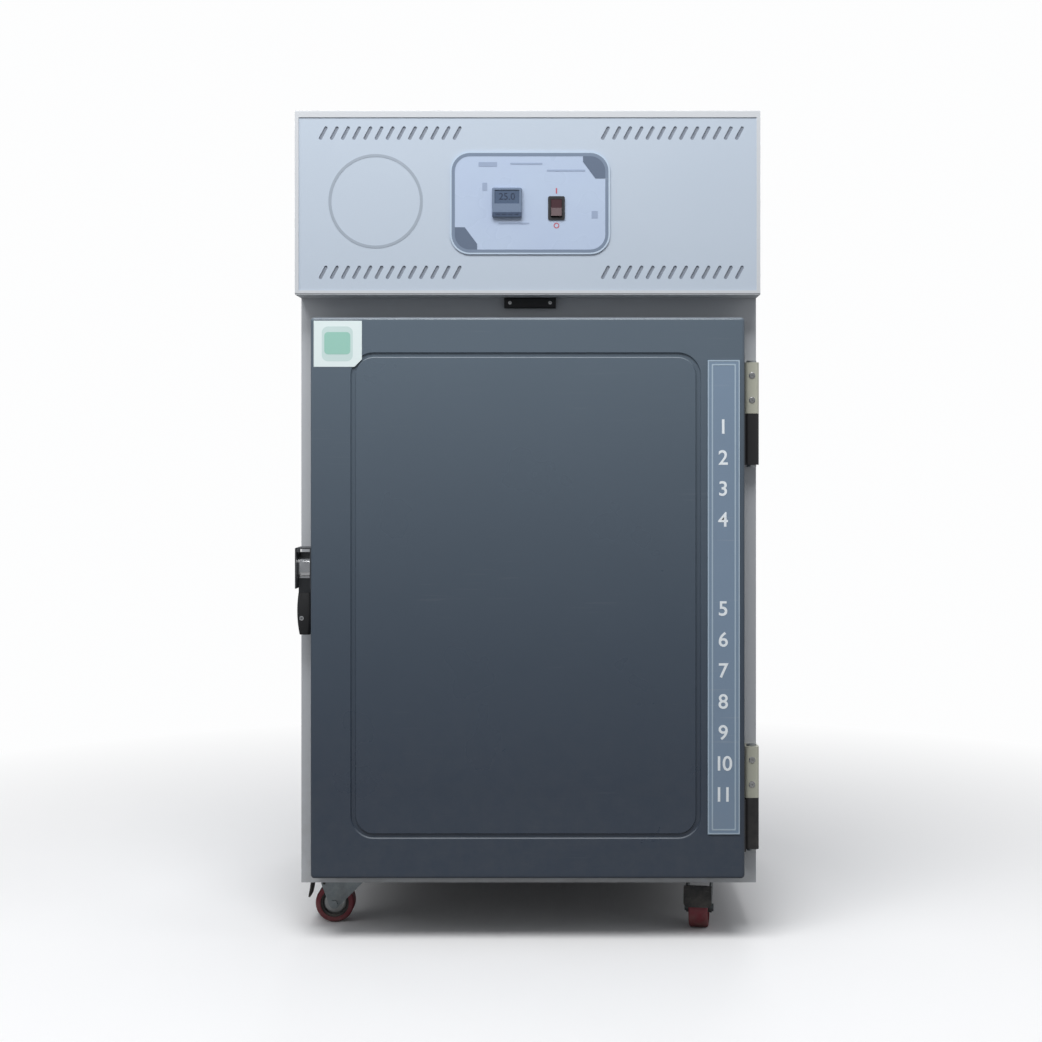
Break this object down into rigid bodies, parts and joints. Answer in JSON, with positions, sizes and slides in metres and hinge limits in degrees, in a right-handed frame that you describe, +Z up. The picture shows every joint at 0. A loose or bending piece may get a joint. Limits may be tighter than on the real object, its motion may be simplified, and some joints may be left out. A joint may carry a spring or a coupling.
{
  "type": "environmental test chamber",
  "caption": "Insulated test chamber on castors: grooved front door with latch and pinned hinges, shelved cavity with air duct, and a slotted head holding controls and cooling unit.",
  "frame": {"origin": "on the floor under the middle of the chamber: the bottom centre of its bounding box with the door shut", "axes": "+Z up; the door and the controls face -Y; +X is on the right of someone facing the door, the hinge side"},
  "size_m": [0.7525, 0.7872, 1.345],
  "materials": {
    "casing_paint": "satin",
    "base_paint": "satin",
    "fascia_paint": "satin",
    "door_paint": "satin",
    "strip_film": "satin",
    "plate_film": "satin",
    "black_plastic": "matte",
    "rocker_plastic": "gloss",
    "stainless": "satin",
    "hinge_cream": "satin",
    "hinge_dark": "matte",
    "zinc_steel": "satin",
    "latch_chrome": "polished",
    "latch_paint": "satin",
    "wheel_core": "matte",
    "wheel_tread": "satin",
    "pedal_paint": "satin",
    "fibre": "matte",
    "seal_rubber": "matte",
    "coil_fins": "satin",
    "copper": "satin",
    "machine_paint": "satin"
  },
  "bodies": {
    "cabinet": {"side_panel_left": "casing_paint", "side_panel_right": "casing_paint", "back_panel": "casing_paint", "deck_panel": "casing_paint", "face_frame": "casing_paint", "head_side_left": "casing_paint", "head_side_right": "casing_paint", "head_lid": "casing_paint", "head_grille": "casing_paint", "base_tray": "base_paint", "electrical_tray": "base_paint", "head_fascia": "fascia_paint", "control_plate": "plate_film", "temperature_controller": "black_plastic", "switch_bezel": "black_plastic", "cable_gland": "black_plastic", "door_sensor": "black_plastic", "inner_liner": "stainless", "shelves": "stainless", "shelf_rails": "stainless", "duct_cover": "stainless", "condenser_shroud": "stainless", "temperature_probe": "stainless", "hinge_frame_halves": "hinge_cream", "hinge_pins": "zinc_steel", "latch_keeper": "zinc_steel", "castor_plates": "zinc_steel", "insulation": "fibre", "compressor_mounts": "seal_rubber", "evaporator_coil": "coil_fins", "condenser_coil": "coil_fins", "refrigerant_pipes": "copper", "compressor": "machine_paint", "fan_motors": "machine_paint"},
    "door": {"door_skin": "door_paint", "door_liner": "stainless", "door_insulation": "fibre", "door_gasket": "seal_rubber", "name_strip": "strip_film", "hinge_door_halves": "hinge_dark", "latch_case": "latch_paint"},
    "latch": {"latch_lever": "latch_chrome", "latch_grip": "black_plastic"},
    "switch_rocker": {"rocker": "rocker_plastic"},
    "air_fan": {"evaporator_fan": "black_plastic"},
    "cooling_fan": {"condenser_fan": "black_plastic"},
    "fork_front_left": {"castor_fork_front_left": "zinc_steel"},
    "wheel_front_left": {"castor_wheel_front_left": "wheel_core", "castor_tread_front_left": "wheel_tread"},
    "pedal_front_left": {"brake_pedal_front_left": "pedal_paint"},
    "fork_front_right": {"castor_fork_front_right": "zinc_steel"},
    "wheel_front_right": {"castor_wheel_front_right": "wheel_core", "castor_tread_front_right": "wheel_tread"},
    "pedal_front_right": {"brake_pedal_front_right": "pedal_paint"},
    "fork_rear_left": {"castor_fork_rear_left": "zinc_steel"},
    "wheel_rear_left": {"castor_wheel_rear_left": "wheel_core", "castor_tread_rear_left": "wheel_tread"},
    "fork_rear_right": {"castor_fork_rear_right": "zinc_steel"},
    "wheel_rear_right": {"castor_wheel_rear_right": "wheel_core", "castor_tread_rear_right": "wheel_tread"}
  },
  "joints": [
    {"name": "door_swing", "type": "hinge", "parent": "cabinet", "child": "door", "pos_m": [0.365, -0.34235, 0.56], "axis": [0, 0, 1], "range_deg": [0, 120]},
    {"name": "latch_pull", "type": "hinge", "parent": "door", "child": "latch", "pos_m": [-0.363, -0.35335, 0.6], "axis": [-1, 0, 0], "range_deg": [0, 25], "stiffness_Nm_per_rad": 0.4, "springref_deg": -17.19},
    {"name": "switch_rock", "type": "hinge", "parent": "cabinet", "child": "switch_rocker", "pos_m": [0.0465, -0.38585, 1.1875], "axis": [1, 0, 0], "range_deg": [0, 16]},
    {"name": "air_fan_spin", "type": "hinge", "parent": "cabinet", "child": "air_fan", "pos_m": [0, 0.23165, 0.83], "axis": [0, -1, 0], "continuous": true},
    {"name": "cooling_fan_spin", "type": "hinge", "parent": "cabinet", "child": "cooling_fan", "pos_m": [0.19, 0.29815, 1.165], "axis": [0, -1, 0], "continuous": true},
    {"name": "swivel_front_left", "type": "hinge", "parent": "cabinet", "child": "fork_front_left", "pos_m": [-0.29, -0.23535, 0.075], "axis": [0, 0, 1], "continuous": true},
    {"name": "roll_front_left", "type": "hinge", "parent": "fork_front_left", "child": "wheel_front_left", "pos_m": [-0.33, -0.23535, 0.0325], "axis": [0, -1, 0], "continuous": true},
    {"name": "brake_front_left", "type": "hinge", "parent": "fork_front_left", "child": "pedal_front_left", "pos_m": [-0.347, -0.23535, 0.0676], "axis": [0, -1, 0], "range_deg": [0, 12]},
    {"name": "swivel_front_right", "type": "hinge", "parent": "cabinet", "child": "fork_front_right", "pos_m": [0.29, -0.23535, 0.075], "axis": [0, 0, 1], "continuous": true},
    {"name": "roll_front_right", "type": "hinge", "parent": "fork_front_right", "child": "wheel_front_right", "pos_m": [0.28443, -0.27496, 0.0325], "axis": [0.9903, -0.1392, 0], "continuous": true},
    {"name": "brake_front_right", "type": "hinge", "parent": "fork_front_right", "child": "pedal_front_right", "pos_m": [0.28207, -0.2918, 0.0676], "axis": [0.9903, -0.1392, 0], "range_deg": [0, 12]},
    {"name": "swivel_rear_left", "type": "hinge", "parent": "cabinet", "child": "fork_rear_left", "pos_m": [-0.29, 0.29465, 0.075], "axis": [0, 0, 1], "continuous": true},
    {"name": "roll_rear_left", "type": "hinge", "parent": "fork_rear_left", "child": "wheel_rear_left", "pos_m": [-0.27965, 0.33329, 0.0325], "axis": [-0.9659, 0.2588, 0], "continuous": true},
    {"name": "swivel_rear_right", "type": "hinge", "parent": "cabinet", "child": "fork_rear_right", "pos_m": [0.29, 0.29465, 0.075], "axis": [0, 0, 1], "continuous": true},
    {"name": "roll_rear_right", "type": "hinge", "parent": "fork_rear_right", "child": "wheel_rear_right", "pos_m": [0.28305, 0.33404, 0.0325], "axis": [-0.9848, -0.1736, 0], "continuous": true}
  ]
}
